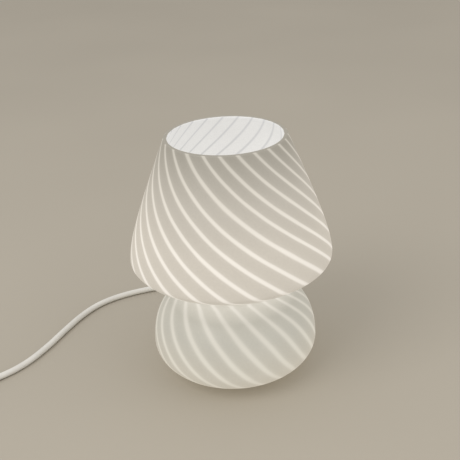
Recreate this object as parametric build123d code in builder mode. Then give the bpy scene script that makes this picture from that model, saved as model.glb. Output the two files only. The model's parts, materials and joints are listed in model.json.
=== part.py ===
"""Mushroom table lamp: one blown glass body, open at the top, lit by a bulb that stands inside it.

Millimetres, +Z up. The origin is on the table, under the middle of the lamp. The cord leaves at the
rear (+Y), lies on the table and ends, past an inline switch, in a coil and a two-pin plug.
"""

import math
import os

from build123d import *

os.makedirs("parts", exist_ok=True)

# ---------------------------------------------------------------- driving dimensions

# glass body, outside
SHADE_R = 90.0  # widest radius of the shade
SHADE_Z = 117.5  # height of that widest ring
RIM_R = 52.5  # outer radius of the open top
HEIGHT = 226.5  # table to rim
WAIST_R = 47.1
WAIST_Z = 85.4
BASE_R = 75.2  # widest radius of the base
BASE_Z = 31.8
FOOT_R = 28.5  # outer radius of the flat that the foot ring is glued to
WALL = 4.0
RIM_ROUND = 1.7  # fire-polished edge

# pushed-up middle of the glass floor, which holds the fixing
FOOT_RING_T = 1.0
RECESS_R = 24.0
RECESS_H = 9.0  # foot flat to the underside of the raised floor
RECESS_ROUND = 3.0
FLOOR_HOLE_R = 5.6

# threaded parts
THREAD_R = 5.0  # M10 x 1
THREAD_BORE_R = 3.5
NUT_FLATS = 14.0
NUT_T = 3.5
GASKET_T = 1.0
WASHER_T = 1.2
WASHER_R = 15.0
STUD_OVER = 3.0  # thread that stands past the upper nut

# clamp plate and pedestal
PLATE_R = 24.5
PLATE_T = 1.5
CUP_R = 16.0
CUP_H = 24.0
CUP_WALL = 1.2
CUP_FLANGE_R = 23.5
CUP_SCREW_R = 19.8
CUP_SCREWS = 3
SCREW_R = 1.5
SCREW_HEAD_R = 2.8
SCREW_HEAD_T = 1.8
CORD_IN_CUP = 14.0  # height of the cord's way into the cup, over the clamp plate

# lampholder
HOLDER_R = 20.0
HOLDER_BOSS_H = 5.0
HOLDER_BOSS_R = 9.0
HOLDER_CAP_H = 18.0
HOLDER_WALL = 1.8
HOLDER_SHELL_T = 1.5
HOLDER_LAP = 8.0  # length of the shell over the cap
HOLDER_SHELL_H = 40.0
INSERT_LIP_T = 2.0
INSERT_DEPTH = 6.0
TOWER_R = 15.5
TOWER_H = 4.0
SOCKET_R = 13.75  # inside of the metal socket
SOCKET_WALL = 0.5
SOCKET_H = 22.0
CONTACT_R = 4.0
CONTACT_T = 1.7
TERMINAL_X = 11.0
TERMINAL_HEAD_R = 2.5
TERMINAL_HEAD_T = 1.8

# bulb
BULB_REST_GAP = 0.3  # tip over the centre contact
BULB_CAP_R = 13.2
TIP_R = 4.5
TIP_T = 1.5
INSULATOR_H = 3.5
BULB_CAP_H = 21.0
BULB_BODY_H = 37.0
GLOBE_R = 30.0
GLOBE_WALL = 1.5
GLOBE_CUT = 14.0  # from the globe's middle down to its joint with the body
BODY_NECK_R = 14.4
BODY_WALL = 2.0
LED_BOARD_R = 24.8  # rests on the body's rim, inside the globe
LED_BOARD_T = 1.6

# cord
CORD_R = 3.0
CORE_R = 0.9
CORE_X = 1.2
EXIT_Z = 26.0
BOOT_HOLE_R = 5.0
BOOT_FLANGE_R = 8.0
BOOT_FLANGE_T = 2.5
BOOT_START_R = 6.2
BOOT_END_R = 4.2
BOOT_END_Y = 100.0

# inline switch
SWITCH_AT = (-305.0, -52.0)
SWITCH_TURN = 200.0  # direction of the cord through the switch, degrees from +X
SWITCH_L = 62.0
SWITCH_W = 22.0
SWITCH_H = 15.5
SWITCH_SPLIT = 7.75
SWITCH_WALL = 1.6
SWITCH_CORNER = 5.0
SWITCH_ROUND = 2.2
ROCKER_L = 19.2
ROCKER_W = 9.6
ROCKER_GAP = 0.45
ROCKER_TILT = 7.0
ROCKER_RISE = 3.2  # rocker's ends over its pivot
ROCKER_DIP = 1.5  # lowest line of its top, in the middle
PIVOT_R = 1.2
PIVOT_GAP = 0.05
PIVOT_DROP = 2.9  # pivot under the top of the cover
LUG_T = 1.6
SWITCH_BOSS_X = 17.0
SWITCH_BOSS_Y = 6.6
SWITCH_BOSS_R = 2.4
SWITCH_SCREW_R = 1.1
SWITCH_SCREW_HEAD_R = 1.9
COLLAR_L = 16.0
COLLAR_R = 5.0
COLLAR_END_R = 3.9
COLLAR_FLANGE_R = 6.0
COLLAR_FLANGE_T = 2.0

# coil: the cord's put-away length
COIL_START_R = 46.0
COIL_PITCH = 6.5  # cord to cord, side by side and layer on layer
COIL_HALVES_IN = 5
COIL_HALVES_OUT = 4

# two-pin plug
PLUG_W = 35.3
PLUG_T = 13.7
PLUG_L = 36.0
PLUG_NOSE_W = 26.0
PLUG_BOOT_L = 22.0
PLUG_BOOT_R = 5.2
PLUG_BOOT_END_R = 3.9
PIN_R = 2.0
PIN_L = 19.0
PIN_BARE = 9.0
PIN_SPACING = 18.0
SLEEVE_R = 1.7
PIN_CORE_R = 1.4

# ---------------------------------------------------------------- heights that follow

FOOT_Z = FOOT_RING_T
FLOOR_UNDER = FOOT_Z + RECESS_H
FLOOR_TOP = FLOOR_UNDER + WALL
PLATE_Z = FLOOR_TOP + GASKET_T
CUP_Z = PLATE_Z + PLATE_T
CUP_TOP = CUP_Z + CUP_H
CORD_Z = CUP_Z + CORD_IN_CUP
SEAT_Z = CUP_TOP + HOLDER_CAP_H  # top edge of the holder's cap, where the insert's lip lies
INSERT_TOP = SEAT_Z + INSERT_LIP_T + TOWER_H
CONTACT_TOP = INSERT_TOP + CONTACT_T
BULB_Z = CONTACT_TOP + BULB_REST_GAP
BODY_Z = BULB_Z + TIP_T + INSULATOR_H + BULB_CAP_H
GLOBE_JOINT_Z = BODY_Z + BULB_BODY_H
GLOBE_Z = GLOBE_JOINT_Z + GLOBE_CUT
GLOBE_JOINT_R = math.sqrt(GLOBE_R**2 - GLOBE_CUT**2)


def keep(part, name):
    """Labels a finished piece and writes it."""
    part.label = name
    export_step(part, f"parts/{name}.step")


def disc(z, height, radius, bore=0.0):
    """A flat washer or plate that stands on height z."""
    with BuildPart() as piece:
        with BuildSketch(Plane.XY.offset(z)):
            Circle(radius)
            if bore:
                Circle(bore, mode=Mode.SUBTRACT)
        extrude(amount=height)
    return piece.part


def hex_nut(z):
    """A thin M10 x 1 nut that stands on height z."""
    with BuildPart() as piece:
        with BuildSketch(Plane.XY.offset(z)):
            RegularPolygon(radius=NUT_FLATS / 2, side_count=6, major_radius=False)
            Circle(THREAD_R, mode=Mode.SUBTRACT)
        extrude(amount=NUT_T)
    return piece.part


# ---------------------------------------------------------------- glass body

# Handles of the outline's four curves, each a share of the height that its curve spans.
CONE_TOP = (0.35, 0.31)  # out, down
CONE_END = 0.18
UNDER_START, UNDER_END = 0.28, 0.27
NECK_START, NECK_END = 0.13, 0.75
BELLY_START, BELLY_END = 0.75, 0.23
INNER_TURN_R = 3.0  # inside corners of the pushed-up floor


def body_outline(thin, foot_r, foot_z):
    """Control points of the four curves from rim to foot, drawn in by thin."""
    rim, shade, waist, base = RIM_R - thin, SHADE_R - thin, WAIST_R - thin, BASE_R - thin
    cone_h, under_h = HEIGHT - SHADE_Z, SHADE_Z - WAIST_Z
    neck_h, belly_h = WAIST_Z - BASE_Z, BASE_Z - foot_z
    cone = [
        (rim, HEIGHT),
        (rim + CONE_TOP[0] * (shade - rim), HEIGHT - CONE_TOP[1] * cone_h),
        (shade, SHADE_Z + CONE_END * cone_h),
        (shade, SHADE_Z),
    ]
    under = [
        (shade, SHADE_Z),
        (shade, SHADE_Z - UNDER_START * under_h + 0.85 * thin),
        (waist, WAIST_Z + UNDER_END * under_h + 1.1 * thin),
        (waist, WAIST_Z),
    ]
    neck = [
        (waist, WAIST_Z),
        (waist, WAIST_Z - NECK_START * neck_h - 0.6 * thin),
        (base, BASE_Z + NECK_END * neck_h - 0.6 * thin),
        (base, BASE_Z),
    ]
    belly = [
        (base, BASE_Z),
        (base, BASE_Z - BELLY_START * belly_h),
        (foot_r + BELLY_END * (base - foot_r), foot_z),
        (foot_r, foot_z),
    ]
    return cone, under, neck, belly


inner_foot_r = RECESS_R + WALL + INNER_TURN_R
inner_foot_z = FOOT_Z + WALL
outer_curves = body_outline(0.0, FOOT_R, FOOT_Z)
inner_curves = body_outline(WALL, inner_foot_r, inner_foot_z)

with BuildPart() as glass_body:
    with BuildSketch(Plane.XZ):
        with BuildLine():
            for curve in outer_curves:
                Bezier(*curve)
            Polyline((FOOT_R, FOOT_Z), (RECESS_R, FOOT_Z), (RECESS_R, FLOOR_UNDER - RECESS_ROUND))
            RadiusArc(
                (RECESS_R, FLOOR_UNDER - RECESS_ROUND),
                (RECESS_R - RECESS_ROUND, FLOOR_UNDER),
                -RECESS_ROUND,
            )
            Polyline(
                (RECESS_R - RECESS_ROUND, FLOOR_UNDER),
                (FLOOR_HOLE_R, FLOOR_UNDER),
                (FLOOR_HOLE_R, FLOOR_TOP),
                (RECESS_R + WALL - INNER_TURN_R, FLOOR_TOP),
            )
            RadiusArc(
                (RECESS_R + WALL - INNER_TURN_R, FLOOR_TOP),
                (RECESS_R + WALL, FLOOR_TOP - INNER_TURN_R),
                INNER_TURN_R,
            )
            Line(
                (RECESS_R + WALL, FLOOR_TOP - INNER_TURN_R),
                (RECESS_R + WALL, inner_foot_z + INNER_TURN_R),
            )
            RadiusArc(
                (RECESS_R + WALL, inner_foot_z + INNER_TURN_R),
                (inner_foot_r, inner_foot_z),
                -INNER_TURN_R,
            )
            for curve in reversed(inner_curves):
                Bezier(*reversed(curve))
            Line((RIM_R - WALL, HEIGHT), (RIM_R, HEIGHT))
        make_face()
    revolve(axis=Axis.Z)
    rim_edges = glass_body.edges().filter_by(GeomType.CIRCLE).group_by(Axis.Z)[-1]
    fillet(rim_edges, RIM_ROUND)
    # the drilled hole for the cord, in the rear wall
    with BuildSketch(Plane.XZ.offset(-(RECESS_R + WALL + INNER_TURN_R + 4))):
        with Locations((0, EXIT_Z)):
            Circle(BOOT_HOLE_R)
    extrude(amount=-BASE_R, mode=Mode.SUBTRACT)
keep(glass_body.part, "glass_body")

# ---------------------------------------------------------------- foot and glass fixing

keep(disc(0, FOOT_RING_T, FOOT_R, RECESS_R), "foot_ring")

BASE_CAP_T = 1.5
BASE_CAP_Z = FOOT_Z + 0.6
with BuildPart() as base_cap:
    with BuildSketch(Plane.XY.offset(BASE_CAP_Z)):
        Circle(RECESS_R)
    extrude(amount=BASE_CAP_T)
    with BuildSketch(Plane.XY.offset(BASE_CAP_Z + BASE_CAP_T)):
        Circle(RECESS_R)
        Circle(RECESS_R - BASE_CAP_T, mode=Mode.SUBTRACT)
    extrude(amount=BASE_CAP_T)
keep(base_cap.part, "base_cap")

lower_washer_z = FLOOR_UNDER - GASKET_T - WASHER_T
keep(disc(FLOOR_UNDER - GASKET_T, GASKET_T, WASHER_R + 1, FLOOR_HOLE_R), "lower_gasket")
keep(disc(lower_washer_z, WASHER_T, WASHER_R, THREAD_R), "lower_washer")
keep(hex_nut(lower_washer_z - NUT_T), "lower_nut")
keep(disc(FLOOR_TOP, GASKET_T, PLATE_R - 4, FLOOR_HOLE_R), "upper_gasket")

with BuildPart() as clamp_plate:
    with BuildSketch(Plane.XY.offset(PLATE_Z)):
        Circle(PLATE_R)
        Circle(THREAD_R, mode=Mode.SUBTRACT)
        with PolarLocations(CUP_SCREW_R, CUP_SCREWS):
            Circle(SCREW_R, mode=Mode.SUBTRACT)
    extrude(amount=PLATE_T)
keep(clamp_plate.part, "clamp_plate")

keep(hex_nut(CUP_Z), "upper_nut")
stud_low = lower_washer_z - NUT_T
keep(disc(stud_low, CUP_Z + NUT_T + STUD_OVER - stud_low, THREAD_R), "stud")

# ---------------------------------------------------------------- pedestal

with BuildPart() as pedestal_cup:
    with BuildSketch(Plane.XZ):
        with BuildLine():
            Polyline(
                (CUP_R - CUP_WALL, CUP_Z),
                (CUP_FLANGE_R, CUP_Z),
                (CUP_FLANGE_R, CUP_Z + CUP_WALL),
                (CUP_R, CUP_Z + CUP_WALL),
                (CUP_R, CUP_TOP),
                (THREAD_R, CUP_TOP),
                (THREAD_R, CUP_TOP - CUP_WALL),
                (CUP_R - CUP_WALL, CUP_TOP - CUP_WALL),
                close=True,
            )
        make_face()
    revolve(axis=Axis.Z)
    top_edges = pedestal_cup.edges().filter_by(GeomType.CIRCLE).group_by(Axis.Z)[-1]
    fillet(top_edges.sort_by(SortBy.RADIUS)[-1:], 1.0)
    with BuildSketch(Plane.XY.offset(CUP_Z)):
        with PolarLocations(CUP_SCREW_R, CUP_SCREWS):
            Circle(SCREW_R)
    extrude(amount=CUP_WALL, mode=Mode.SUBTRACT)
    with BuildSketch(Plane.XZ):
        with Locations((0, CORD_Z)):
            Circle(BOOT_HOLE_R)
    extrude(amount=-CUP_R, mode=Mode.SUBTRACT)
keep(pedestal_cup.part, "pedestal_cup")

with BuildPart() as cup_screws:
    with PolarLocations(CUP_SCREW_R, CUP_SCREWS):
        with Locations((0, 0, PLATE_Z)):
            Cylinder(
                SCREW_R,
                PLATE_T + CUP_WALL,
                align=(Align.CENTER, Align.CENTER, Align.MIN),
            )
        with Locations((0, 0, CUP_Z + CUP_WALL)):
            Cylinder(
                SCREW_HEAD_R,
                SCREW_HEAD_T,
                align=(Align.CENTER, Align.CENTER, Align.MIN),
            )
keep(cup_screws.part, "cup_screws")

nipple_low = CUP_TOP - CUP_WALL - NUT_T - 1
keep(
    disc(nipple_low, CUP_TOP + HOLDER_BOSS_H - nipple_low, THREAD_R, THREAD_BORE_R),
    "nipple",
)
keep(hex_nut(CUP_TOP - CUP_WALL - NUT_T), "nipple_nut")

# ---------------------------------------------------------------- lampholder

cap_inner_r = HOLDER_R - HOLDER_WALL
dome_z = CUP_TOP + HOLDER_BOSS_H + 7.0  # where the cap's dome turns into its straight wall
with BuildPart() as holder_cap:
    with BuildSketch(Plane.XZ):
        with BuildLine():
            Polyline((THREAD_R, CUP_TOP + HOLDER_BOSS_H), (THREAD_R, CUP_TOP), (HOLDER_BOSS_R, CUP_TOP))
            Bezier(
                (HOLDER_BOSS_R, CUP_TOP),
                (HOLDER_R - 2, CUP_TOP + 2),
                (HOLDER_R, dome_z - 4),
                (HOLDER_R, dome_z),
            )
            Polyline(
                (HOLDER_R, dome_z),
                (HOLDER_R, SEAT_Z),
                (cap_inner_r, SEAT_Z),
                (cap_inner_r, dome_z),
            )
            Bezier(
                (cap_inner_r, dome_z),
                (cap_inner_r, dome_z - 3),
                (cap_inner_r - 2, CUP_TOP + HOLDER_BOSS_H + 1),
                (HOLDER_BOSS_R, CUP_TOP + HOLDER_BOSS_H),
            )
            Line((HOLDER_BOSS_R, CUP_TOP + HOLDER_BOSS_H), (THREAD_R, CUP_TOP + HOLDER_BOSS_H))
        make_face()
    revolve(axis=Axis.Z)
keep(holder_cap.part, "holder_cap")

INSERT_GAP = 0.2
with BuildPart() as holder_insert:
    with BuildSketch(Plane.XY.offset(SEAT_Z - INSERT_DEPTH)):
        Circle(cap_inner_r - INSERT_GAP)
    extrude(amount=INSERT_DEPTH)
    with BuildSketch(Plane.XY.offset(SEAT_Z)):
        Circle(HOLDER_R)
    extrude(amount=INSERT_LIP_T)
    with BuildSketch(Plane.XY.offset(SEAT_Z + INSERT_LIP_T)):
        Circle(TOWER_R)
    extrude(amount=TOWER_H)
keep(holder_insert.part, "holder_insert")

with BuildPart() as terminal_screws:
    with Locations(
        (-TERMINAL_X, 0, SEAT_Z - INSERT_DEPTH - TERMINAL_HEAD_T),
        (TERMINAL_X, 0, SEAT_Z - INSERT_DEPTH - TERMINAL_HEAD_T),
    ):
        Cylinder(
            TERMINAL_HEAD_R,
            TERMINAL_HEAD_T,
            align=(Align.CENTER, Align.CENTER, Align.MIN),
        )
keep(terminal_screws.part, "terminal_screws")

with BuildPart() as centre_contact:
    with BuildSketch(Plane.XY.offset(INSERT_TOP)):
        Circle(CONTACT_R)
    extrude(amount=CONTACT_T)
    fillet(centre_contact.edges().group_by(Axis.Z)[-1], CONTACT_T / 2)
keep(centre_contact.part, "centre_contact")

keep(disc(INSERT_TOP, SOCKET_H, SOCKET_R + SOCKET_WALL, SOCKET_R), "screw_shell")

shell_low = SEAT_Z - HOLDER_LAP
shell_top = shell_low + HOLDER_SHELL_H
lip_top = SEAT_Z + INSERT_LIP_T
shell_outer_r = HOLDER_R + HOLDER_SHELL_T
SHELL_TAPER = 1.5
with BuildPart() as holder_shell:
    with BuildSketch(Plane.XZ):
        with BuildLine():
            Polyline(
                (HOLDER_R, shell_low),
                (shell_outer_r, shell_low),
                (shell_outer_r, lip_top + 2),
                (shell_outer_r - SHELL_TAPER, shell_top),
                (shell_outer_r - SHELL_TAPER - HOLDER_SHELL_T, shell_top),
                (shell_outer_r - 2 * HOLDER_SHELL_T, lip_top + 2),
                (shell_outer_r - 2 * HOLDER_SHELL_T, lip_top),
                (HOLDER_R, lip_top),
                close=True,
            )
        make_face()
    revolve(axis=Axis.Z)
    fillet(holder_shell.edges().group_by(Axis.Z)[-1], 0.6)
keep(holder_shell.part, "holder_shell")

# ---------------------------------------------------------------- bulb

insulator_z = BULB_Z + TIP_T
bulb_cap_z = insulator_z + INSULATOR_H
keep(disc(BULB_Z, TIP_T, TIP_R), "bulb_tip")

with BuildPart() as bulb_insulator:
    with BuildSketch(Plane.XY.offset(insulator_z)):
        Circle(TIP_R + 1)
    with BuildSketch(Plane.XY.offset(bulb_cap_z)):
        Circle(BULB_CAP_R - 2)
    loft(ruled=True)
keep(bulb_insulator.part, "bulb_insulator")

with BuildPart() as bulb_cap:
    with BuildSketch(Plane.XY.offset(bulb_cap_z)):
        Circle(BULB_CAP_R)
    extrude(amount=BULB_CAP_H)
    chamfer(bulb_cap.edges().group_by(Axis.Z)[0], 1.5)
keep(bulb_cap.part, "bulb_cap")

with BuildPart() as bulb_body:
    with BuildSketch(Plane.XZ):
        with BuildLine():
            Polyline((0, BODY_Z + BODY_WALL), (0, BODY_Z), (BODY_NECK_R, BODY_Z))
            Bezier(
                (BODY_NECK_R, BODY_Z),
                (BODY_NECK_R + 1, BODY_Z + 14),
                (GLOBE_JOINT_R - 5, GLOBE_JOINT_Z - 12),
                (GLOBE_JOINT_R, GLOBE_JOINT_Z),
            )
            Line((GLOBE_JOINT_R, GLOBE_JOINT_Z), (GLOBE_JOINT_R - BODY_WALL, GLOBE_JOINT_Z))
            Bezier(
                (GLOBE_JOINT_R - BODY_WALL, GLOBE_JOINT_Z),
                (GLOBE_JOINT_R - 5 - BODY_WALL, GLOBE_JOINT_Z - 12),
                (BODY_NECK_R + 1 - BODY_WALL, BODY_Z + 14),
                (BODY_NECK_R - BODY_WALL, BODY_Z + BODY_WALL),
            )
            Line((BODY_NECK_R - BODY_WALL, BODY_Z + BODY_WALL), (0, BODY_Z + BODY_WALL))
        make_face()
    revolve(axis=Axis.Z)
keep(bulb_body.part, "bulb_body")

keep(disc(GLOBE_JOINT_Z, LED_BOARD_T, LED_BOARD_R), "led_board")

with BuildPart() as bulb_globe:
    with Locations((0, 0, GLOBE_Z)):
        Sphere(GLOBE_R)
        Sphere(GLOBE_R - GLOBE_WALL, mode=Mode.SUBTRACT)
    split(bisect_by=Plane.XY.offset(GLOBE_JOINT_Z), keep=Keep.TOP)
keep(bulb_globe.part, "bulb_globe")

# ---------------------------------------------------------------- cord inside the lamp


def corner_radii(points, share=0.45):
    """The largest even radius for each corner of a route: share of the shorter run over tan(half turn)."""
    radii = []
    for before, here, after in zip(points, points[1:], points[2:]):
        run_in, run_out = Vector(*here) - Vector(*before), Vector(*after) - Vector(*here)
        half = math.radians(run_in.get_angle(run_out)) / 2
        radii.append(share * min(run_in.length, run_out.length) / math.tan(half))
    return radii


def tube(points, radius, name, radii=None):
    """A round cord along straight runs and tangent arcs; prints its radii and its volume check."""
    radii = radii or corner_radii(points)
    with BuildPart() as piece:
        with BuildLine() as route:
            FilletPolyline(*points, radius=radii)
        start = route.line @ 0
        with BuildSketch(Plane(origin=start, z_dir=route.line % 0)):
            Circle(radius)
        sweep(path=route.line)
    length = route.wire().length
    print(
        name,
        "length",
        round(length, 1),
        "radii",
        [round(value) for value in radii],
        "volume",
        round(piece.part.volume),
        "section x length",
        round(math.pi * radius**2 * length),
    )
    return piece.part


CORD_INNER_START_Y = 8.0
inner_route = [
    (0, CORD_INNER_START_Y, CORD_Z),
    (0, 30, CORD_Z),
    (0, 52, EXIT_Z),
    (0, BOOT_END_Y, EXIT_Z),
]
keep(tube(inner_route, CORD_R, "cord_inner"), "cord_inner")

# the two cores: out of the sheath's end, up through the nipple to the terminals
core_bend = 3.0
core_top = SEAT_Z - INSERT_DEPTH - TERMINAL_HEAD_T
core_level = core_top - 2.0
for side, core_name in ((-1, "core_neutral"), (1, "core_live")):
    core_route = [
        (side * CORE_X, CORD_INNER_START_Y, CORD_Z),
        (side * CORE_X, 0, CORD_Z),
        (side * CORE_X, 0, core_level),
        (side * TERMINAL_X, 0, core_level),
        (side * TERMINAL_X, 0, core_top),
    ]
    keep(tube(core_route, CORE_R, core_name, [core_bend, core_bend, 1.5]), core_name)

# grip that holds the cord in the cup's wall
GRIP_FLANGE_R = 6.5
GRIP_FLANGE_T = 2.0
with BuildPart() as cord_grip:
    with BuildSketch(Plane.XZ.offset(-(CUP_R - CUP_WALL - GRIP_FLANGE_T))):
        with Locations((0, CORD_Z)):
            Circle(BOOT_HOLE_R)
            Circle(CORD_R, mode=Mode.SUBTRACT)
    extrude(amount=-(CUP_WALL + 2 * GRIP_FLANGE_T))
    with BuildSketch(Plane.XZ.offset(-CUP_R)):
        with Locations((0, CORD_Z)):
            Circle(GRIP_FLANGE_R)
            Circle(CORD_R, mode=Mode.SUBTRACT)
    extrude(amount=-GRIP_FLANGE_T)
keep(cord_grip.part, "cord_grip")

# boot in the glass's rear hole: a flange on each side of the wall and a tapered tail
with BuildPart() as boot_turned:
    with BuildSketch(Plane.YZ):
        with BuildLine():
            flange_in, flange_out = BASE_R - 12, BASE_R + BOOT_FLANGE_T
            Polyline(
                (flange_in, EXIT_Z + CORD_R),
                (flange_in, EXIT_Z + BOOT_FLANGE_R),
                (flange_out, EXIT_Z + BOOT_FLANGE_R),
                (flange_out, EXIT_Z + BOOT_START_R),
                (BOOT_END_Y, EXIT_Z + BOOT_END_R),
                (BOOT_END_Y, EXIT_Z + CORD_R),
                close=True,
            )
        make_face()
    revolve(axis=Axis((0, 0, EXIT_Z), (0, 1, 0)))
cord_boot = boot_turned.part - glass_body.part
keep(Compound(children=[max(cord_boot.solids(), key=lambda solid: solid.volume)]), "cord_boot")

# ---------------------------------------------------------------- free cord, lamp to switch

switch_dir = Vector(math.cos(math.radians(SWITCH_TURN)), math.sin(math.radians(SWITCH_TURN)), 0)
switch_mid = Vector(SWITCH_AT[0], SWITCH_AT[1], SWITCH_SPLIT)
reach = SWITCH_L / 2 + COLLAR_L
switch_entry = switch_mid - switch_dir * reach
switch_exit = switch_mid + switch_dir * reach

lead_route = [
    (0, BOOT_END_Y, EXIT_Z),
    (0, 124, EXIT_Z),
    (-9, 146, 16),
    (-33, 156, 6),
    (-66, 144, CORD_R),
    (-111, 132.5, CORD_R),
    (-142, 114.5, CORD_R),
    (-160, 91, CORD_R),
    (-174.5, 61.5, CORD_R),
    (-187.5, 31.5, CORD_R),
    (-204, 3, CORD_R),
    (-225.5, -16.5, CORD_R),
    tuple(switch_entry - switch_dir * 19),
    tuple(switch_entry),
]
keep(tube(lead_route, CORD_R, "cord_lead"), "cord_lead")

# ---------------------------------------------------------------- free cord, switch to coil

COIL_AT = Vector(-371.4, 0, CORD_R)
coil_start = COIL_AT + Vector(-COIL_START_R, -2 * CORD_R, 0)
mid_route = [
    tuple(switch_exit),
    tuple(switch_exit + switch_dir * 22),
    (-393.3, -70.2, CORD_R),
    (-410, -53, CORD_R),
    (coil_start.X, coil_start.Y - 24, CORD_R),
    tuple(coil_start),
]
keep(tube(mid_route, CORD_R, "cord_mid"), "cord_mid")

# ---------------------------------------------------------------- coil


def half_turn(start, tangent, end):
    """Two equal arcs from start to the opposite side, the second ending against the first's direction."""
    span = end - start
    handle = span.length / 2
    middle = (start + tangent * handle + end + tangent * handle) * 0.5
    TangentArc(start, middle, tangent=tangent)
    TangentArc(middle, end, tangent=span.normalized())


def coil_stations():
    """Ends of the half turns: the cord spirals in on the table, climbs a layer and spirals out."""
    stations = [(COIL_START_R, 0.0)]
    for _ in range(COIL_HALVES_IN):
        stations.append((stations[-1][0] - COIL_PITCH / 2, 0.0))
    inmost = stations[-1][0]
    stations.append((inmost - COIL_PITCH / 2, COIL_PITCH))
    # the first half turn of the upper layer steps out clear of the climb
    stations.append((inmost + COIL_PITCH * 0.77, COIL_PITCH))
    for _ in range(COIL_HALVES_OUT - 1):
        stations.append((stations[-1][0] + COIL_PITCH / 2, COIL_PITCH))
    points = []
    for count, (radius, rise) in enumerate(stations):
        side = -1 if count % 2 == 0 else 1
        points.append(COIL_AT + Vector(side * radius, 0, rise))
    return points


with BuildPart() as cord_coil:
    with BuildLine() as coil_line:
        stations = coil_stations()
        Line(coil_start, stations[0])
        for count, (here, there) in enumerate(zip(stations, stations[1:])):
            half_turn(here, Vector(0, 1 if count % 2 == 0 else -1, 0), there)
        coil_end = stations[-1] + Vector(0, 2 * CORD_R, 0)
        Line(stations[-1], coil_end)
    with BuildSketch(Plane(origin=coil_start, z_dir=(0, 1, 0))):
        Circle(CORD_R)
    sweep(path=coil_line.line)
keep(cord_coil.part, "cord_coil")


def least_gap(line, radius, step=2.0):
    """Least gap of a tube to itself, measured on points along its middle."""
    count = int(line.length / step)
    points = [line.position_at(index / count) for index in range(count + 1)]
    near = int(math.pi * radius * 3 / step)
    gap = min(
        (points[i] - points[j]).length
        for i in range(len(points))
        for j in range(i + near, len(points))
    )
    return gap - 2 * radius


coil_way = coil_line.wire()
print("coil length", round(coil_way.length, 1), "least gap", round(least_gap(coil_way, CORD_R), 2))

# ---------------------------------------------------------------- tail and plug

plug_axis_z = PLUG_T / 2
TAIL_L = 50.0
tail_end = Vector(coil_end.X, coil_end.Y + TAIL_L, plug_axis_z)
tail_route = [
    tuple(coil_end),
    (coil_end.X, coil_end.Y + TAIL_L * 0.34, coil_end.Z),
    (coil_end.X, coil_end.Y + TAIL_L * 0.7, plug_axis_z),
    tuple(tail_end),
]
keep(tube(tail_route, CORD_R, "cord_tail"), "cord_tail")

plug_body_y = tail_end.Y + PLUG_BOOT_L
with BuildPart() as plug_boot:
    with BuildSketch(Plane(origin=tail_end, z_dir=(0, 1, 0))):
        Circle(PLUG_BOOT_END_R)
    with BuildSketch(Plane(origin=(tail_end.X, plug_body_y, plug_axis_z), z_dir=(0, 1, 0))):
        Circle(PLUG_BOOT_R)
    loft(ruled=True)
keep(plug_boot.part, "plug_boot")

# outline from above: narrow where the cord enters, full width at the face with the pins
with BuildPart() as plug_body:
    with BuildSketch():
        with BuildLine():
            left, right = tail_end.X - PLUG_W / 2, tail_end.X + PLUG_W / 2
            nose = 8.0
            Line((tail_end.X - nose, plug_body_y), (tail_end.X + nose, plug_body_y))
            Spline(
                (tail_end.X + nose, plug_body_y),
                (tail_end.X + PLUG_NOSE_W / 2, plug_body_y + PLUG_L * 0.35),
                (right, plug_body_y + PLUG_L * 0.8),
                tangents=[(1, 0.6), (0, 1)],
            )
            Polyline(
                (right, plug_body_y + PLUG_L * 0.8),
                (right, plug_body_y + PLUG_L),
                (left, plug_body_y + PLUG_L),
                (left, plug_body_y + PLUG_L * 0.8),
            )
            Spline(
                (left, plug_body_y + PLUG_L * 0.8),
                (tail_end.X - PLUG_NOSE_W / 2, plug_body_y + PLUG_L * 0.35),
                (tail_end.X - nose, plug_body_y),
                tangents=[(0, -1), (1, -0.6)],
            )
        make_face()
    extrude(amount=PLUG_T)
    fillet(plug_body.edges().filter_by(GeomType.LINE).filter_by(Axis.Z).sort_by(Axis.Y)[-2:], 4.0)
keep(plug_body.part, "plug_body")

pin_face = Plane(origin=(tail_end.X, plug_body_y + PLUG_L, plug_axis_z), x_dir=(1, 0, 0), z_dir=(0, 1, 0))
with BuildPart() as plug_sleeves:
    with BuildSketch(pin_face):
        with GridLocations(PIN_SPACING, 0, 2, 1):
            Circle(SLEEVE_R)
            Circle(PIN_CORE_R, mode=Mode.SUBTRACT)
    extrude(amount=PIN_L - PIN_BARE)
keep(plug_sleeves.part, "plug_sleeves")

with BuildPart() as plug_pins:
    with BuildSketch(pin_face):
        with GridLocations(PIN_SPACING, 0, 2, 1):
            Circle(PIN_CORE_R)
    extrude(amount=PIN_L - PIN_BARE)
    with BuildSketch(pin_face.offset(PIN_L - PIN_BARE)):
        with GridLocations(PIN_SPACING, 0, 2, 1):
            Circle(PIN_R)
    extrude(amount=PIN_BARE)
    fillet(plug_pins.edges().group_by(Axis.Y)[-1], 0.9)
keep(plug_pins.part, "plug_pins")

# ---------------------------------------------------------------- inline switch

# x along the cord, y across, z up from the table
switch_plane = Plane(origin=(SWITCH_AT[0], SWITCH_AT[1], 0), x_dir=switch_dir, z_dir=(0, 0, 1))
inner_l, inner_w = SWITCH_L - 2 * SWITCH_WALL, SWITCH_W - 2 * SWITCH_WALL
boss_places = [(SWITCH_BOSS_X, SWITCH_BOSS_Y), (-SWITCH_BOSS_X, -SWITCH_BOSS_Y)]
collar_axis = switch_plane.offset(SWITCH_SPLIT)
pivot_z = SWITCH_H - PIVOT_DROP
window_l, window_w = ROCKER_L + 1.6, ROCKER_W + 2 * ROCKER_GAP


def end_plane(side, distance):
    """A plane square to the cord's way through the switch, distance from its middle."""
    return Plane(
        origin=switch_mid + switch_dir * (side * distance),
        x_dir=(0, 0, 1),
        z_dir=switch_dir * side,
    )


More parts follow.
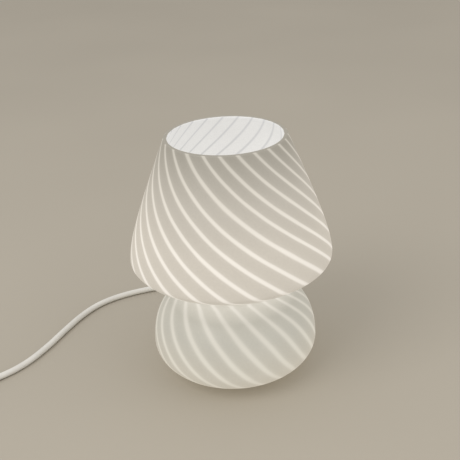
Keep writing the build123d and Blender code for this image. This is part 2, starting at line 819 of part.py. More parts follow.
# the round ways through the end walls, which hold the collars by their necks
with BuildPart() as collar_ways:
    for side in (-1, 1):
        with BuildSketch(end_plane(side, SWITCH_L / 2 - SWITCH_WALL)):
            Circle(COLLAR_R)
        extrude(amount=SWITCH_WALL)

with BuildPart() as switch_base:
    with BuildSketch(switch_plane):
        RectangleRounded(SWITCH_L, SWITCH_W, SWITCH_CORNER)
    extrude(amount=SWITCH_SPLIT)
    chamfer(switch_base.faces().sort_by(Axis.Z)[0].edges(), 0.8)
    with BuildSketch(switch_plane.offset(SWITCH_WALL)):
        RectangleRounded(inner_l, inner_w, SWITCH_CORNER - SWITCH_WALL)
    extrude(amount=SWITCH_SPLIT - SWITCH_WALL, mode=Mode.SUBTRACT)
    with BuildSketch(switch_plane.offset(SWITCH_WALL)):
        with Locations(*boss_places):
            Circle(SWITCH_BOSS_R)
    extrude(amount=SWITCH_SPLIT - SWITCH_WALL)
    add(collar_ways.part, mode=Mode.SUBTRACT)
    with BuildSketch(switch_plane):
        with Locations(*boss_places):
            Circle(SWITCH_SCREW_R)
    extrude(amount=SWITCH_SPLIT, mode=Mode.SUBTRACT)
    with BuildSketch(switch_plane):
        with Locations(*boss_places):
            Circle(SWITCH_SCREW_HEAD_R)
    extrude(amount=SWITCH_WALL, mode=Mode.SUBTRACT)
keep(switch_base.part, "switch_base")

pivot_plane = Plane(
    origin=(SWITCH_AT[0], SWITCH_AT[1], pivot_z),
    x_dir=switch_dir,
    z_dir=switch_plane.y_dir,
)
with BuildPart() as switch_cover:
    with BuildSketch(switch_plane.offset(SWITCH_SPLIT)):
        RectangleRounded(SWITCH_L, SWITCH_W, SWITCH_CORNER)
    extrude(amount=SWITCH_H - SWITCH_SPLIT)
    fillet(switch_cover.faces().sort_by(Axis.Z)[-1].edges(), SWITCH_ROUND)
    with BuildSketch(switch_plane.offset(SWITCH_SPLIT)):
        RectangleRounded(inner_l, inner_w, SWITCH_CORNER - SWITCH_WALL)
    extrude(amount=SWITCH_H - SWITCH_SPLIT - SWITCH_WALL, mode=Mode.SUBTRACT)
    with BuildSketch(switch_plane.offset(SWITCH_SPLIT)):
        with Locations(*boss_places):
            Circle(SWITCH_BOSS_R)
    extrude(amount=SWITCH_H - SWITCH_SPLIT - SWITCH_WALL / 2)
    # lugs beside the window, which carry the rocker's pivot
    with BuildSketch(switch_plane.offset(pivot_z - 2 * PIVOT_R)):
        with Locations((0, window_w / 2 + LUG_T / 2), (0, -window_w / 2 - LUG_T / 2)):
            Rectangle(4 * PIVOT_R, LUG_T)
    extrude(amount=SWITCH_H - SWITCH_WALL / 2 - pivot_z + 2 * PIVOT_R)
    with BuildSketch(switch_plane.offset(SWITCH_H - 2 * SWITCH_WALL)):
        Rectangle(window_l, window_w)
    extrude(amount=2 * SWITCH_WALL, mode=Mode.SUBTRACT)
    add(collar_ways.part, mode=Mode.SUBTRACT)
    with BuildSketch(pivot_plane):
        Circle(PIVOT_R + PIVOT_GAP)
    extrude(amount=window_w / 2 + LUG_T, both=True, mode=Mode.SUBTRACT)
    with BuildSketch(switch_plane.offset(SWITCH_SPLIT)):
        with Locations(*boss_places):
            Circle(SWITCH_SCREW_R)
    extrude(amount=SWITCH_H - SWITCH_SPLIT - 2 * SWITCH_WALL, mode=Mode.SUBTRACT)
keep(switch_cover.part, "switch_cover")

# The rocker's outline is drawn level and then tilted to the on position, on its pivot.
tilt = math.radians(ROCKER_TILT)
rocker_plane = Plane(
    origin=(SWITCH_AT[0], SWITCH_AT[1], pivot_z),
    x_dir=switch_dir * math.cos(tilt) + Vector(0, 0, math.sin(tilt)),
    z_dir=-switch_plane.y_dir,
)
with BuildPart() as switch_rocker:
    with BuildSketch(rocker_plane):
        with BuildLine():
            half_l = ROCKER_L / 2
            ThreePointArc((-half_l, ROCKER_RISE), (0, ROCKER_DIP), (half_l, ROCKER_RISE))
            Polyline(
                (half_l, ROCKER_RISE),
                (half_l - 0.6, -1.0),
                (2.5, -PIVOT_R - 1),
                (-2.5, -PIVOT_R - 1),
                (-half_l + 0.6, -1.0),
                (-half_l, ROCKER_RISE),
            )
        make_face()
    extrude(amount=ROCKER_W / 2, both=True)
    with BuildSketch(rocker_plane):
        Circle(PIVOT_R)
    extrude(amount=window_w / 2 + LUG_T - 0.1, both=True)
keep(switch_rocker.part, "switch_rocker")

with BuildPart() as switch_screws:
    with BuildSketch(switch_plane.offset(SWITCH_WALL - 1.2)):
        with Locations(*boss_places):
            Circle(SWITCH_SCREW_HEAD_R)
    extrude(amount=1.2)
    with BuildSketch(switch_plane.offset(SWITCH_WALL)):
        with Locations(*boss_places):
            Circle(SWITCH_SCREW_R)
    extrude(amount=SWITCH_SPLIT + 2)
keep(switch_screws.part, "switch_screws")

# terminal blocks with a raised tongue under each end of the rocker
CONTACT_X = 8.0
CONTACT_L = 9.0
CONTACT_W = 5.0
CONTACT_H = 4.0
with BuildPart() as switch_contacts:
    with BuildSketch(switch_plane.offset(SWITCH_WALL)):
        with Locations((-CONTACT_X, 0), (CONTACT_X, 0)):
            Rectangle(CONTACT_L, CONTACT_W)
    extrude(amount=CONTACT_H)
keep(switch_contacts.part, "switch_contacts")

# moulded collars: a flange inside the end wall, a neck in it and a taper outside
collars = []
for side in (-1, 1):
    with BuildPart() as collar:
        with BuildSketch(end_plane(side, SWITCH_L / 2 - SWITCH_WALL - COLLAR_FLANGE_T)):
            Circle(COLLAR_FLANGE_R)
        extrude(amount=COLLAR_FLANGE_T)
        with BuildSketch(end_plane(side, SWITCH_L / 2 - SWITCH_WALL)):
            Circle(COLLAR_R)
        extrude(amount=SWITCH_WALL)
    with BuildPart() as taper:
        with BuildSketch(end_plane(side, SWITCH_L / 2)):
            Circle(COLLAR_R)
        with BuildSketch(end_plane(side, SWITCH_L / 2 + COLLAR_L)):
            Circle(COLLAR_END_R)
        loft(ruled=True)
    collars.append((collar.part + taper.part).solid())
keep(Compound(children=collars), "switch_collars")

# cores from the collars to the terminal blocks
sw_cores = []
core_in = SWITCH_L / 2 - SWITCH_WALL - COLLAR_FLANGE_T
for side in (-1, 1):
    core_from = switch_mid + switch_dir * (side * core_in)
    core_to = switch_mid + switch_dir * (side * (CONTACT_X + 1))
    drop = SWITCH_SPLIT - SWITCH_WALL - CONTACT_H
    sw_route = [
        tuple(core_from),
        tuple(core_to),
        tuple(core_to - Vector(0, 0, drop)),
    ]
    sw_cores.append(tube(sw_route, CORE_R, "switch core", [1.8]))
keep(Compound(children=sw_cores), "switch_cores")

print("heights", "bulb", BULB_Z, "globe top", GLOBE_Z + GLOBE_R, "holder top", shell_top)
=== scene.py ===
"""Looks of a mushroom table lamp in swirled opal glass, built round its CAD frame.

Metres, +Z up, the front of the lamp towards -Y. Lengths in the tables below are in millimetres.
"""

import json
import math

import bpy
from mathutils import Matrix, Vector


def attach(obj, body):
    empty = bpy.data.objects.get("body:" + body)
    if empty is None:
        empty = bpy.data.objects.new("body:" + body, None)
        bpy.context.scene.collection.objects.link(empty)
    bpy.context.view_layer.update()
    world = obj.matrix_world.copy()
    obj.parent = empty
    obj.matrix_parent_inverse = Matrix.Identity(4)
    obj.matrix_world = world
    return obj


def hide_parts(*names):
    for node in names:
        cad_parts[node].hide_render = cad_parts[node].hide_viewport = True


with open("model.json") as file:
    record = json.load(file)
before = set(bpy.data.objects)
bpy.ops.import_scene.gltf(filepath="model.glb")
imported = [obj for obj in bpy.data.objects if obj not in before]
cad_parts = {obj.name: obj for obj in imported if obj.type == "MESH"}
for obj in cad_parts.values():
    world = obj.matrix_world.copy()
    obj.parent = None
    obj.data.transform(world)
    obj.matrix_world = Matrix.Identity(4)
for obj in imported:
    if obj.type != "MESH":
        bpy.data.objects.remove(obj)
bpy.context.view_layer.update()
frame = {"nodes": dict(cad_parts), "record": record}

MM = 0.001
NODES = frame["nodes"]


def metres(points):
    """A list of millimetre points in metres."""
    return [tuple(value * MM for value in point) for point in points]


def srgb(red, green, blue):
    """A colour given as 0 to 255 sRGB, as the linear RGBA that the shaders take."""
    linear = []
    for value in (red, green, blue):
        share = value / 255
        linear.append(share / 12.92 if share <= 0.04045 else ((share + 0.055) / 1.055) ** 2.4)
    return (*linear, 1.0)


def grey(value):
    """A linear grey as RGBA."""
    return (value, value, value, 1.0)


def tinted(colour, factor):
    """A linear colour made darker or lighter by a factor."""
    return (*(min(1.0, value * factor) for value in colour[:3]), 1.0)


# ---------------------------------------------------------------- camera

CAM_TARGET = (-0.08, 0.0, 137.15)
CAM_DISTANCE = 708.8
CAM_ELEVATION = math.radians(25.81)
CAM_ROLL = math.radians(-2.92)
CAM_YAW = math.radians(-0.07)
CAM_LENS = 62.609
CAM_SENSOR = 36.0
CAM_NEAR = 0.01  # metres


def add_camera():
    """The photograph's viewing angle: from the front, a little above, with a slight roll."""
    level = math.cos(CAM_ELEVATION)
    back = Vector((math.sin(CAM_YAW) * level, -math.cos(CAM_YAW) * level, math.sin(CAM_ELEVATION)))
    right = Vector((math.cos(CAM_YAW), math.sin(CAM_YAW), 0))
    up = back.cross(right)
    rolled_right = math.cos(CAM_ROLL) * right + math.sin(CAM_ROLL) * up
    rolled_up = back.cross(rolled_right)
    place = (Vector(CAM_TARGET) + back * CAM_DISTANCE) * MM
    data = bpy.data.cameras.new("camera")
    data.lens = CAM_LENS
    data.sensor_width = CAM_SENSOR
    data.clip_start = CAM_NEAR
    camera = bpy.data.objects.new("camera", data)
    bpy.context.scene.collection.objects.link(camera)
    turn = Matrix((rolled_right, rolled_up, back)).transposed().to_4x4()
    camera.matrix_world = Matrix.Translation(place) @ turn
    bpy.context.scene.camera = camera


add_camera()

# ---------------------------------------------------------------- cords

CORD_R = 3.0
CORD_STEPS = 8  # line steps from one control point to the next
CORD_BEVEL = 5  # sets how round the cord is

BOOT_Z = 26.0  # height of the cord's way out of the base
BOOT_END = 100.0  # outer end of the boot, from the lamp's middle
SWITCH_SEAM_Z = 7.75
SWITCH_AT = Vector((-305.0, -52.0, SWITCH_SEAM_Z))
SWITCH_TURN = math.radians(200)
SWITCH_WAY = Vector((math.cos(SWITCH_TURN), math.sin(SWITCH_TURN), 0))  # along the cord, lamp to plug
SWITCH_HALF = 31.0
COLLAR_END = 47.0  # outer end of a collar, from the switch's middle
PLUG_SEAM_Z = 6.85

COIL_AT = (-371.4, 0.0)
COIL_PITCH = 6.5
COIL_LOW, COIL_HIGH = CORD_R, CORD_R + COIL_PITCH
COIL_START_R = 46.0
COIL_HALVES_IN = 5  # half turns on the floor
COIL_HALVES_OUT = 4  # and on top of them, after the climb
COIL_STEP_OUT = 0.77  # of a pitch, where the upper layer starts clear of the climb
POINTS_PER_HALF = 8


def beside_switch(distance):
    """A control point on the cord's line through the switch, that far past its middle."""
    return tuple(round(value, 2) for value in SWITCH_AT + SWITCH_WAY * distance)


def coil_stations():
    """Radius and height where each half turn of the coil ends: in on the floor, up a layer, and out."""
    stations = [(COIL_START_R - COIL_PITCH / 2 * count, COIL_LOW) for count in range(COIL_HALVES_IN + 1)]
    inmost = stations[-1][0]
    stations.append((inmost - COIL_PITCH / 2, COIL_HIGH))
    first_out = inmost + COIL_PITCH * COIL_STEP_OUT
    stations += [(first_out + COIL_PITCH / 2 * count, COIL_HIGH) for count in range(COIL_HALVES_OUT)]
    return stations


def coil_points():
    """Control points of the coil, clockwise seen from above, starting on its -X side.

    Each lies outside its arc by the cosine of half a step, so that the line keeps the arc's radius.
    """
    points = []
    stations = coil_stations()
    step = math.pi / POINTS_PER_HALF
    for count, (start, end) in enumerate(zip(stations, stations[1:])):
        side = -1 if count % 2 == 0 else 1
        arc_r = (start[0] + end[0]) / 2
        middle = COIL_AT[0] + side * (start[0] - end[0]) / 2
        reach = arc_r / math.cos(step / 2)
        for index in range(POINTS_PER_HALF):
            along = (index + 0.5) / POINTS_PER_HALF
            turn = math.pi * along
            points.append(
                (
                    middle + side * reach * math.cos(turn),
                    COIL_AT[1] - side * reach * math.sin(turn),
                    start[1] + (end[1] - start[1]) * along,
                )
            )
    return points


# control points from the boot's end to the switch's first collar
LEAD_POINTS = [
    (0, BOOT_END, BOOT_Z),
    (0, 124, BOOT_Z),
    (-9, 146, 16),
    (-33, 156, 6),
    (-66, 144, CORD_R),
    (-111, 132.5, CORD_R),
    (-142, 114.5, CORD_R),
    (-160, 91, CORD_R),
    (-174.5, 61.5, CORD_R),
    (-187.5, 31.5, CORD_R),
    (-204, 3, CORD_R),
    (-225.5, -16.5, CORD_R),
    beside_switch(-COLLAR_END - 19),
    beside_switch(-COLLAR_END),
]
# from the switch's second collar to the coil
COIL_SIDE = COIL_AT[0] - COIL_START_R
MID_POINTS = [
    beside_switch(COLLAR_END),
    beside_switch(COLLAR_END + 22),
    (-393.3, -70.2, CORD_R),
    (-410, -53, CORD_R),
    (COIL_SIDE, -30, CORD_R),
    (COIL_SIDE, -6, CORD_R),
]
# from the coil to the plug's boot
TAIL_SIDE = COIL_AT[0] - coil_stations()[-1][0]
TAIL_POINTS = [
    (TAIL_SIDE, 6, COIL_HIGH),
    (TAIL_SIDE, 23, COIL_HIGH),
    (TAIL_SIDE, 41, PLUG_SEAM_Z),
    (TAIL_SIDE, 56, PLUG_SEAM_Z),
]


def add_cord(name, points):
    """A round cord whose line is one smooth spline with those control points."""
    data = bpy.data.curves.new(name, "CURVE")
    data.dimensions = "3D"
    data.resolution_u = CORD_STEPS
    data.bevel_depth = 1.0  # times each point's radius, which the bounds are read from
    data.bevel_resolution = CORD_BEVEL
    data.use_fill_caps = True
    spline = data.splines.new("NURBS")
    spline.points.add(len(points) - 1)
    for point, place in zip(spline.points, metres(points)):
        point.co = (*place, 1.0)
        point.radius = CORD_R * MM
    spline.order_u = 3
    spline.use_endpoint_u = True
    cord = bpy.data.objects.new(name, data)
    bpy.context.scene.collection.objects.link(cord)
    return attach(cord, "lamp")


lead = add_cord("lead_flex", LEAD_POINTS)
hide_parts("cord_lead")
coiled = add_cord("coiled_flex", MID_POINTS + coil_points() + TAIL_POINTS)
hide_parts("cord_mid", "cord_coil", "cord_tail")

# ---------------------------------------------------------------- material graphs

NOISE_LOW, NOISE_HIGH = 0.3, 0.7  # where most of a noise's values lie


class Graph:
    """A material's node tree, with short calls for the nodes used here."""

    def __init__(self, name):
        self.material = bpy.data.materials.new(name)
        self.material.use_nodes = True
        self.tree = self.material.node_tree
        self.shader = self.tree.nodes["Principled BSDF"]
        self.place = self.node("ShaderNodeTexCoord").outputs["Object"]

    def node(self, kind, **settings):
        """A new node with those settings."""
        made = self.tree.nodes.new(kind)
        for setting, value in settings.items():
            setattr(made, setting, value)
        return made

    def feed(self, socket, value):
        """Links an output to a socket, or sets the socket to a plain value."""
        if isinstance(value, bpy.types.NodeSocket):
            self.tree.links.new(value, socket)
        else:
            socket.default_value = value

    def math(self, operation, *values):
        """The result of one sum on outputs or plain numbers."""
        made = self.node("ShaderNodeMath", operation=operation)
        for socket, value in zip(made.inputs, values):
            self.feed(socket, value)
        return made.outputs[0]

    def polynomial(self, value, factors):
        """factors[0] + factors[1] * value + ..., worked from the highest power down."""
        total = factors[-1]
        for factor in reversed(factors[:-1]):
            total = self.math("MULTIPLY_ADD", total, value, factor)
        return total

    def ease(self, value, low, high, at_low=0.0, at_high=1.0):
        """A smooth step from at_low to at_high as value goes from low to high."""
        made = self.node("ShaderNodeMapRange", interpolation_type="SMOOTHSTEP")
        for socket, number in zip(made.inputs, (value, low, high, at_low, at_high)):
            self.feed(socket, number)
        return made.outputs[0]

    def spread(self, value, at_low, at_high):
        """A 0 to 1 value spread evenly from at_low to at_high."""
        made = self.node("ShaderNodeMapRange")
        for socket, number in zip(made.inputs, (value, 0.0, 1.0, at_low, at_high)):
            self.feed(socket, number)
        return made.outputs[0]

    def noise(self, size, detail=2.0, stretch=None):
        """Noise of about that size in metres, stretched by a factor along each axis."""
        place = self.place
        if stretch:
            scaled = self.node("ShaderNodeVectorMath", operation="MULTIPLY")
            self.feed(scaled.inputs[0], place)
            scaled.inputs[1].default_value = stretch
            place = scaled.outputs[0]
        made = self.node("ShaderNodeTexNoise")
        self.feed(made.inputs["Vector"], place)
        made.inputs["Scale"].default_value = 1 / size
        made.inputs["Detail"].default_value = detail
        return made.outputs[0]

    def ramp(self, value, stops):
        """A colour that runs through (position, colour) stops."""
        made = self.node("ShaderNodeValToRGB")
        self.feed(made.inputs[0], value)
        band = made.color_ramp
        while len(band.elements) < len(stops):
            band.elements.new(0.5)
        for element, (position, colour) in zip(band.elements, stops):
            element.position = position
            element.color = colour
        return made.outputs[0]

    def tones(self, noise, dark, light):
        """A colour that follows a noise from dark to light."""
        return self.ramp(noise, [(NOISE_LOW, dark), (NOISE_HIGH, light)])

    def mix(self, share, first, second, blend="MIX"):
        """Two colours mixed by a share of the second, or blended to that degree."""
        made = self.node("ShaderNodeMix", data_type="RGBA", blend_type=blend)
        for index, value in ((0, share), (6, first), (7, second)):
            self.feed(made.inputs[index], value)
        return made.outputs[2]

    def bump(self, height, depth, under=None):
        """Relief of that depth in metres, on top of another relief; its output goes to the shader."""
        made = self.node("ShaderNodeBump")
        made.inputs["Distance"].default_value = depth
        self.feed(made.inputs["Height"], height)
        if under:
            self.feed(made.inputs["Normal"], under)
        self.feed(self.shader.inputs["Normal"], made.outputs[0])
        return made.outputs[0]

    def axes(self):
        """The three coordinates of a place, in metres."""
        made = self.node("ShaderNodeSeparateXYZ")
        self.feed(made.inputs[0], self.place)
        return made.outputs

    def along(self, direction):
        """How far a place lies along a direction, in metres."""
        made = self.node("ShaderNodeVectorMath", operation="DOT_PRODUCT")
        self.feed(made.inputs[0], self.place)
        made.inputs[1].default_value = direction
        return made.outputs["Value"]


WHITE = grey(1.0)
PATCH_SIZE = 25 * MM  # of the faint patches on a moulding
SPECKS = [(0.35, grey(0.94)), (0.6, WHITE)]
SPECK_SHARE = 0.6  # how much of the fine speckle shows
SEAM_HALF = 0.16 * MM
SEAM_PAINTED_SHADE = (0.55, 0.54, 0.52, 1.0)
METAL_PATCH = 9 * MM
METAL_DARK = 0.82  # tone of the tool lines' dark side


def moulded(
    name, colour, rough=(0.35, 0.5), grain=0.4 * MM, relief=0.01 * MM, vary=0.05, seam=None
):
    """Moulded plastic, rubber, lacquer or ceramic: faint patches, a fine grain and an uneven gloss.

    seam is the height of a fine parting line, darkened there with painted shade.
    """
    graph = Graph(name)
    patches = graph.noise(PATCH_SIZE, 3.0)
    fine = graph.noise(grain, 3.0)
    toned = graph.tones(patches, tinted(colour, 1 - vary), tinted(colour, 1 + vary))
    shown = graph.mix(SPECK_SHARE, toned, graph.ramp(fine, SPECKS), "MULTIPLY")
    graph.feed(graph.shader.inputs["Roughness"], graph.spread(patches, *rough))
    under = graph.bump(fine, relief)
    if seam is not None:
        off_seam = graph.math("ABSOLUTE", graph.math("SUBTRACT", graph.along((0, 0, 1)), seam))
        line = graph.ease(off_seam, SEAM_HALF / 2, SEAM_HALF)
        # painted shade along the parting line
        shade = graph.ramp(line, [(0.0, SEAM_PAINTED_SHADE), (1.0, WHITE)])
        shown = graph.mix(1.0, shown, shade, "MULTIPLY")
        graph.bump(line, SEAM_HALF, under)
    graph.feed(graph.shader.inputs["Base Color"], shown)
    return graph.material


def metal(name, colour, rough=(0.22, 0.42), stretch=(1, 1, 14), grain=3 * MM, relief=0.01 * MM):
    """Turned or drawn metal: fine tool lines across the stretch, with duller patches."""
    graph = Graph(name)
    lines = graph.noise(grain, 4.0, stretch)
    patches = graph.noise(METAL_PATCH, 3.0)
    toned = graph.tones(lines, tinted(colour, METAL_DARK), colour)
    graph.feed(graph.shader.inputs["Base Color"], toned)
    graph.feed(graph.shader.inputs["Roughness"], graph.spread(patches, *rough))
    graph.shader.inputs["Metallic"].default_value = 1.0
    graph.bump(lines, relief)
    return graph.material


def glowing(material, colour, strength):
    """Adds a plain glow to a finished material."""
    shader = material.node_tree.nodes["Principled BSDF"]
    shader.inputs["Emission Color"].default_value = colour
    shader.inputs["Emission Strength"].default_value = strength
    return material


# ---------------------------------------------------------------- swirled glass

GLASS_TOP = 226.5
RIM_R, RIM_Z = 52.5, GLASS_TOP
SHADE_R, SHADE_Z = 90.0, 117.5
WAIST_R, WAIST_Z = 47.1, 85.4
BASE_R, BASE_Z = 75.2, 31.8
FOOT_R, FOOT_Z = 28.5, 1.0
WALL = 4.0

LINES = 24  # pale lines round the glass
LINE_STEP = 360 / LINES
GLOW = 0.5  # share of the glass's brightness that comes through it from the bulb

# Each zone's lines: phase in degrees against height, as powers of (z - middle) / span, and the
# sideways sway of the blown lines, whose two parts change with height too.
SHADE_MIDDLE, SHADE_SPAN = 173.0, 55.0
SHADE_PHASE = (-84.05, -47.05, -0.71, 0.92)
SHADE_SWAY = (-2.10, -3.59)
INSIDE_SWAY = (4.90, -4.50)
BASE_MIDDLE, BASE_SPAN = 54.0, 31.0
BASE_PHASE = (-61.8, -19.93, -1.54, -4.74)
BASE_SWAY = ((-8.66, -4.34), (-8.80, -3.39))
BASE_TO_SHADE = 6.0  # lines that the base's count runs ahead of the shade's
LATE_LINE, LATE_BY = 6.7, 0.09  # a place in the shade's count where the lines come late, and by how much
LATE_NEAR, LATE_FAR = 0.3, 1.2  # how near that place this is full, and how far off it is gone, in steps

# Round the waist the two zones join along the wall, not by height alone, so that the lines keep their slant
# on the nearly flat underside of the shade.
BASE_TOP = 85.0
SHADE_LOW = 118.0
OUTWARD_SHARE = 0.55  # how much a step outwards counts against a step up
WALL_AT_SHADE = 141.65  # that measure about at the shade's widest place
SHADE_RUN = 0.95  # how fast the shade's height falls below it, for each unit of that measure
JOIN_LOW, PHASES_JOINED, SWAYS_JOINED = 79.5, 102.0, 142.0  # where the join begins and is complete

LINES_END = 226.45  # the lines stop where the rim's melted edge turns over
LINES_FADE = 0.5
SKIRT_REACH = (0.05, 0.38)  # where the skirt begins to fade and where it ends, in steps from the line
WAVER_SIZE = 38 * MM
WAVER = 0.035  # how far a line strays to each side, in steps
THICKNESS_SIZE = 22 * MM
THICKNESS = (0.8, 1.2)  # how the width varies along a line


def joined(graph, share, base, shade):
    """A value that goes from the base's to the shade's as share goes from 0 to 1."""
    return graph.math("MULTIPLY_ADD", graph.math("SUBTRACT", shade, base), share, base)


def line_count(graph, turn, height, radius, shade_sway):
    """Number of lines, with a fraction, between a place on the glass and its first line."""
    outward = graph.math("SUBTRACT", radius, WAIST_R)
    wall = graph.math("MULTIPLY_ADD", outward, OUTWARD_SHARE, height)
    base_height = graph.math("MINIMUM", height, BASE_TOP)
    base_up = graph.math("DIVIDE", graph.math("SUBTRACT", base_height, BASE_MIDDLE), BASE_SPAN)
    below = graph.math("MAXIMUM", graph.math("SUBTRACT", WALL_AT_SHADE, wall), 0.0)
    shade_height = graph.math("MULTIPLY_ADD", below, -SHADE_RUN, graph.math("MAXIMUM", height, SHADE_LOW))
    shade_up = graph.math("DIVIDE", graph.math("SUBTRACT", shade_height, SHADE_MIDDLE), SHADE_SPAN)

    base_phase = graph.math("ADD", graph.polynomial(base_up, BASE_PHASE), BASE_TO_SHADE * LINE_STEP)
    shade_phase = graph.polynomial(shade_up, SHADE_PHASE)
    phase = joined(graph, graph.ease(wall, JOIN_LOW, PHASES_JOINED), base_phase, shade_phase)

    sways_joined = graph.ease(wall, JOIN_LOW, SWAYS_JOINED)
    angle = graph.math("RADIANS", turn)
    ahead = graph.math("SUBTRACT", turn, phase)
    for wave, base_sway, of_shade in zip(("SINE", "COSINE"), BASE_SWAY, shade_sway):
        sway = joined(graph, sways_joined, graph.polynomial(base_up, base_sway), of_shade)
        ahead = graph.math("MULTIPLY_ADD", graph.math(wave, angle), sway, ahead)
    lines = graph.math("DIVIDE", ahead, LINE_STEP)
    beside = graph.math("ABSOLUTE", graph.math("SUBTRACT", lines, LATE_LINE))
    late = graph.ease(beside, LATE_NEAR, LATE_FAR, LATE_BY, 0.0)
    return graph.math("MULTIPLY_ADD", late, graph.math("MULTIPLY", sways_joined, -1.0), lines)


def by_height(graph, height, stops):
    """A value that eases over between two heights; stops are (low height, value, high height, value)."""
    low, at_low, high, at_high = stops
    return graph.ease(height, low, high, at_low, at_high)


def line_mask(graph, height, width_stops, soft_stops, skirt_stops, shade_sway):
    """1 in the middle of a pale line and 0 between the lines, with soft edges and a faint skirt."""
    east, north, _ = graph.axes()
    turn = graph.math("DEGREES", graph.math("ARCTAN2", east, graph.math("MULTIPLY", north, -1.0)))
    across = graph.math("ADD", graph.math("MULTIPLY", east, east), graph.math("MULTIPLY", north, north))
    radius = graph.math("DIVIDE", graph.math("SQRT", across), MM)
    lines = line_count(graph, turn, height, radius, shade_sway)
    lines = graph.math("ADD", lines, graph.spread(graph.noise(WAVER_SIZE, 1.0), -WAVER, WAVER))
    off_line = graph.math("ABSOLUTE", graph.math("SUBTRACT", lines, graph.math("ROUND", lines)))

    half = graph.math("MULTIPLY", by_height(graph, height, width_stops), 0.5 / LINE_STEP)
    thick = graph.math("MULTIPLY", half, graph.spread(graph.noise(THICKNESS_SIZE, 1.0), *THICKNESS))
    soft = by_height(graph, height, soft_stops)
    inside_edge = graph.math("MULTIPLY", thick, graph.math("SUBTRACT", 1.0, soft))
    outside_edge = graph.math("MULTIPLY", thick, graph.math("ADD", 1.0, soft))
    core = graph.ease(off_line, inside_edge, outside_edge, 1.0, 0.0)
    strength = by_height(graph, height, skirt_stops)
    skirt = graph.math("MULTIPLY", graph.ease(off_line, *SKIRT_REACH, 1.0, 0.0), strength)
    beside_core = graph.math("MULTIPLY", graph.math("SUBTRACT", 1.0, core), skirt)
    below_lip = graph.ease(height, LINES_END - LINES_FADE, LINES_END, 1.0, 0.0)
    return graph.math("MULTIPLY", graph.math("ADD", core, beside_core), below_lip)


CLOUD_SIZE, CLOUD_TONES = 55 * MM, (grey(0.975), grey(1.02))
GRAIN_SIZE, GRAIN_TONES = 0.9 * MM, (grey(0.955), grey(1.03))
GLASS_ROUGH, GLASS_ROUGH_SIZE = (0.38, 0.5), 30 * MM
GLASS_SPECULAR = 0.35
RIPPLE_SIZE, RIPPLE_DEPTH = 24 * MM, 0.15 * MM
SATIN_SIZE, SATIN_SHARE = 1.2 * MM, 0.08  # the etched surface's fine relief, as a share of the ripple's


def opal_glass(name, panel_and_light_stops, line_and_light_stops, shape_stops, sway, line_strength=1.0):
    """Satin opal glass with pale swirled lines, lit through by its bulb as a painted glow; stops are
    (height, sRGB) and hold painted light as well as the glass's colour.
    """
    graph = Graph(name)
    height = graph.math("DIVIDE", graph.axes()[2], MM)
    level = graph.math("DIVIDE", height, GLASS_TOP)
    panel_and_light = graph.ramp(level, [(z / GLASS_TOP, srgb(*colour)) for z, colour in panel_and_light_stops])
    line = graph.ramp(level, [(z / GLASS_TOP, srgb(*colour)) for z, colour in line_and_light_stops])
    mask = graph.math("MULTIPLY", line_mask(graph, height, *shape_stops, sway), line_strength)
    clouds = graph.tones(graph.noise(CLOUD_SIZE, 3.0), *CLOUD_TONES)
    grain = graph.tones(graph.noise(GRAIN_SIZE), *GRAIN_TONES)
    body = graph.mix(1.0, graph.mix(1.0, panel_and_light, clouds, "MULTIPLY"), grain, "MULTIPLY")
    colour = graph.mix(mask, body, line)
    # a GLOW share of the colour is painted glow, given as emission, and the rest is the lit colour
    graph.feed(graph.shader.inputs["Base Color"], graph.mix(1.0, colour, grey(1 - GLOW), "MULTIPLY"))
    graph.feed(graph.shader.inputs["Emission Color"], colour)
    graph.shader.inputs["Emission Strength"].default_value = GLOW
    rough = graph.spread(graph.noise(GLASS_ROUGH_SIZE), *GLASS_ROUGH)
    graph.feed(graph.shader.inputs["Roughness"], rough)
    graph.shader.inputs["Specular IOR Level"].default_value = GLASS_SPECULAR
    ripple = graph.noise(RIPPLE_SIZE, 1.0)
    surface = graph.math("MULTIPLY_ADD", graph.noise(SATIN_SIZE), SATIN_SHARE, ripple)
    graph.bump(surface, RIPPLE_DEPTH)
    return graph.material


# The outside glass's colour by height, with painted light on it: painted glow from the bulb, brightest in
# the lower shade and in a band at the waist just under the shade, and painted shade that darkens the shade
# towards its rim. The base is lighter again towards the foot.
OUTSIDE_PANELS_PAINTED_LIGHT = [
    (10, (223, 216, 201)),
    (36, (205, 200, 187)),
    (60, (197, 194, 183)),
    (74, (197, 194, 183)),
    (85, (232, 228, 217)),
    (118, (216, 209, 197)),
    (150, (212, 205, 193)),
    (188, (195, 189, 178)),
    (224, (168, 163, 152)),
]
OUTSIDE_LINES_PAINTED_LIGHT = [
    (8, (237, 231, 217)),
    (46, (228, 224, 212)),
    (65, (221, 217, 206)),
    (75, (222, 218, 208)),
    (85, (251, 247, 238)),
    (120, (252, 246, 237)),
    (150, (250, 244, 234)),
    (195, (229, 223, 212)),
    (224, (208, 203, 192)),
]
# The inside is a copy of the glass painted paler, as the bulb lights it, and darker towards the rim.
INSIDE_PANELS_PAINTED_LIGHT = [(100, (240, 239, 236)), (188, (238, 237, 235)), (222, (231, 230, 228))]
INSIDE_LINES_PAINTED_LIGHT = [(100, (218, 218, 216)), (222, (204, 204, 205))]
INSIDE_STRENGTH = 0.75

# widths in degrees, edge softness and strength of the skirt: below one height, and above another
OUTSIDE_SHAPE = [(60, 3.65, 125, 3.25), (60, 0.78, 125, 0.62), (60, 0.32, 125, 0.12)]
INSIDE_SHAPE = [(60, 2.6, 125, 2.2), (60, 0.8, 125, 0.8), (60, 0.0, 125, 0.0)]

